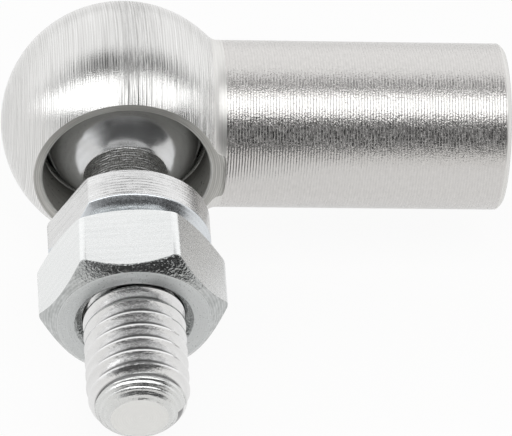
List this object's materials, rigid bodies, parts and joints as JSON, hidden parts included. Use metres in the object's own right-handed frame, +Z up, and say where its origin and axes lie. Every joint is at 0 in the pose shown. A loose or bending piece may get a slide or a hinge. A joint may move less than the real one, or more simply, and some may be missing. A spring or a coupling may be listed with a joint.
{
  "type": "angle ball joint",
  "caption": "Right-angle ball joint: threaded rod socket with a spherical head, and a threaded ball stud with a hex nut held in it by a wire snap ring.",
  "frame": {"origin": "the ball's centre, which is the joint's pivot point", "axes": "+X along the rod shank towards its threaded end, -Y out of the socket's mouth, +Z up; the stud leans 7 degrees down from -Y, as it lies on a table"},
  "size_m": [0.04, 0.0396, 0.0192],
  "materials": {
    "turned_plated_steel": "zinc plated over fine turning marks",
    "spring_wire": "drawn spring wire",
    "stud_steel": "polished ball, turned collar, rolled thread",
    "nut_steel": "zinc plated, satin"
  },
  "bodies": {
    "socket": {"socket_housing": "turned_plated_steel"},
    "ring": {"snap_ring": "spring_wire"},
    "stud": {"ball_stud": "stud_steel"},
    "nut": {"hex_nut": "nut_steel"}
  },
  "joints": [
    {"name": "stud_swivel", "type": "hinge", "parent": "socket", "child": "ring", "pos_m": [0, 0, 0], "axis": [0, -1, 0], "continuous": true},
    {"name": "stud_tilt", "type": "hinge", "parent": "ring", "child": "stud", "pos_m": [0, 0, 0], "axis": [1, 0, 0], "range_deg": [-25, 11]},
    {"name": "nut_turn", "type": "hinge", "parent": "stud", "child": "nut", "pos_m": [0, -0.01737, -0.00213], "axis": [0, -0.9925, -0.1219], "continuous": true}
  ]
}
